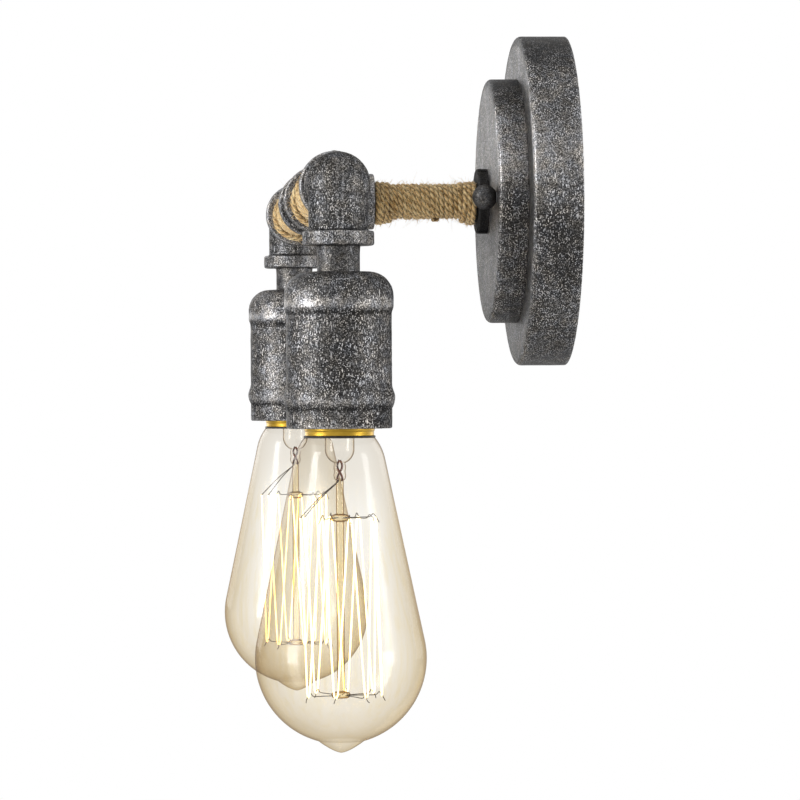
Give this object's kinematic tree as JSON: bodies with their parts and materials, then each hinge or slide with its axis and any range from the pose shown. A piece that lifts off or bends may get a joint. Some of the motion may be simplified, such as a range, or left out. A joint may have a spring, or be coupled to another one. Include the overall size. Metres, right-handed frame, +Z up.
{
  "type": "wall lamp",
  "caption": "Wall light: round stepped canopy, twine-wound pipe bar with tee and elbows, hanging lamp cups with filament bulbs in screw sockets.",
  "frame": {"origin": "centre of the canopy's back, on the wall", "axes": "+Y into the wall, -Y out of it, +X along the bar to the right-hand lamp as seen from the wall's front, +Z up"},
  "size_m": [0.364, 0.135, 0.2793],
  "materials": {
    "aged_silver": "antique silver, speckled and rubbed bright on its edges",
    "cast_fitting": "antique silver over a fine cast surface",
    "dark_silver": "dark antique silver",
    "zinc_steel": "zinc plated",
    "green_screw": "green passivated",
    "green_insulation": "smooth insulation",
    "black_insulation": "smooth insulation",
    "white_insulation": "smooth insulation",
    "orange_plastic": "moulded",
    "jute": "twisted jute twine with loose fibres",
    "porcelain": "glazed porcelain",
    "brass": "bright rolled brass",
    "black_glass": "black cap glass",
    "solder": "solder",
    "amber_glass": "clear, tinted light amber",
    "clear_glass": "clear",
    "wire_metal": "drawn wire",
    "glowing_filament": "glowing warm white"
  },
  "bodies": {
    "fixture": {"mounting_bracket": "zinc_steel", "bracket_studs": "zinc_steel", "stud_nuts": "zinc_steel", "ground_screw": "green_screw", "ground_wire": "green_insulation", "canopy_pan": "aged_silver", "canopy_boss": "aged_silver", "wall_collar": "aged_silver", "wall_pipe": "zinc_steel", "pipe_lock_nut": "zinc_steel", "pipe_lock_washer": "zinc_steel", "tee": "cast_fitting", "wall_rope": "jute", "wire_connectors": "orange_plastic", "hot_wires": "black_insulation", "neutral_wires": "white_insulation", "right_arm_pipe": "zinc_steel", "right_rope": "jute", "right_elbow": "cast_fitting", "right_nipple": "dark_silver", "right_cup": "aged_silver", "right_cup_nut": "zinc_steel", "right_socket_bridge": "zinc_steel", "right_bridge_screws": "zinc_steel", "right_socket_body": "porcelain", "right_screw_shell": "brass", "right_centre_contact": "brass", "right_terminal_screws": "brass", "left_arm_pipe": "zinc_steel", "left_rope": "jute", "left_elbow": "cast_fitting", "left_nipple": "dark_silver", "left_cup": "aged_silver", "left_cup_nut": "zinc_steel", "left_socket_bridge": "zinc_steel", "left_bridge_screws": "zinc_steel", "left_socket_body": "porcelain", "left_screw_shell": "brass", "left_centre_contact": "brass", "left_terminal_screws": "brass"},
    "right_bulb": {"right_bulb_cap": "brass", "right_bulb_insulator": "black_glass", "right_bulb_contact": "solder", "right_bulb_glass": "amber_glass", "right_bulb_stem": "clear_glass", "right_bulb_supports": "wire_metal", "right_bulb_leads": "wire_metal", "right_bulb_filament": "glowing_filament"},
    "left_bulb": {"left_bulb_cap": "brass", "left_bulb_insulator": "black_glass", "left_bulb_contact": "solder", "left_bulb_glass": "amber_glass", "left_bulb_stem": "clear_glass", "left_bulb_supports": "wire_metal", "left_bulb_leads": "wire_metal", "left_bulb_filament": "glowing_filament"},
    "right_nut": {"right_cap_nut": "dark_silver"},
    "left_nut": {"left_cap_nut": "dark_silver"}
  },
  "joints": [
    {"name": "right_bulb_slide", "type": "slide", "parent": "fixture", "child": "right_bulb", "axis": [0, 0, -1], "range_m": [0, 0.03]},
    {"name": "left_bulb_slide", "type": "slide", "parent": "fixture", "child": "left_bulb", "axis": [0, 0, -1], "range_m": [0, 0.03]},
    {"name": "right_nut_turn", "type": "hinge", "parent": "fixture", "child": "right_nut", "pos_m": [0.039, -0.0367, 0], "axis": [0, -1, 0], "continuous": true},
    {"name": "left_nut_turn", "type": "hinge", "parent": "fixture", "child": "left_nut", "pos_m": [-0.039, -0.0367, 0], "axis": [0, -1, 0], "continuous": true}
  ]
}
